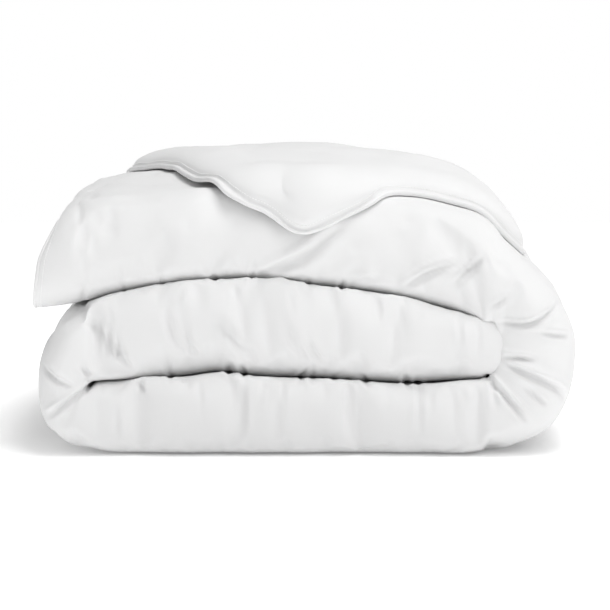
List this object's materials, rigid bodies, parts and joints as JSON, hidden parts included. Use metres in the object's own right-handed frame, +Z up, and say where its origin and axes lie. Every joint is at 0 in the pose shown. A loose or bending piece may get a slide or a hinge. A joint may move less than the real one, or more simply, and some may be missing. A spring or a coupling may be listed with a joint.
{
  "type": "folded duvet",
  "caption": "Plain white duvet with bound, stitched edges, folded in three and rolled up in flat runs, with one loose corner hanging over the front.",
  "frame": {"origin": "middle of the footprint on the surface the duvet lies on, at the underside of the bottom run", "axes": "+X runs along the rolled strip towards the right turn, -Y is the front with the folded edges and the loose corner, +Z is up"},
  "size_m": [0.6366, 0.5293, 0.3425],
  "materials": {
    "cover_cloth": "close plain-weave cotton, bleached white, matt with a slight sheen",
    "wadding": "white polyester fibre wadding",
    "binding_tape": "folded bias tape of the same white cotton",
    "sewing_thread": "white spun polyester thread",
    "label_satin": "blank white satin ribbon"
  },
  "bodies": {
    "roll": {"shell_middle_run": "cover_cloth", "shell_left_turn": "cover_cloth", "shell_bottom_run": "cover_cloth", "shell_right_turn": "cover_cloth", "shell_turn_layer": "cover_cloth", "filling_middle_run": "wadding", "filling_left_turn": "wadding", "filling_bottom_run": "wadding", "filling_right_turn": "wadding", "filling_turn_layer": "wadding", "binding_turn_edge": "binding_tape", "topstitch_turn_edge": "sewing_thread"},
    "top_fold": {"shell_top_run": "cover_cloth", "filling_top_run": "wadding", "shell_top_layer": "cover_cloth", "filling_top_layer": "wadding", "binding_short_edge": "binding_tape", "topstitch_short_edge": "sewing_thread", "binding_head_end": "binding_tape", "topstitch_head_end": "sewing_thread", "care_label": "label_satin"},
    "corner": {"shell_corner": "cover_cloth", "filling_corner": "wadding", "binding_corner": "binding_tape", "topstitch_corner": "sewing_thread"}
  },
  "joints": [
    {"name": "top_fold_lift", "type": "hinge", "parent": "roll", "child": "top_fold", "pos_m": [0.255, 0, 0.322], "axis": [0, 1, 0], "range_deg": [0, 30]},
    {"name": "corner_lift", "type": "hinge", "parent": "top_fold", "child": "corner", "pos_m": [-0.012, -0.059, 0.344], "axis": [-0.8854, 0.4648, 0], "range_deg": [0, 45]}
  ]
}
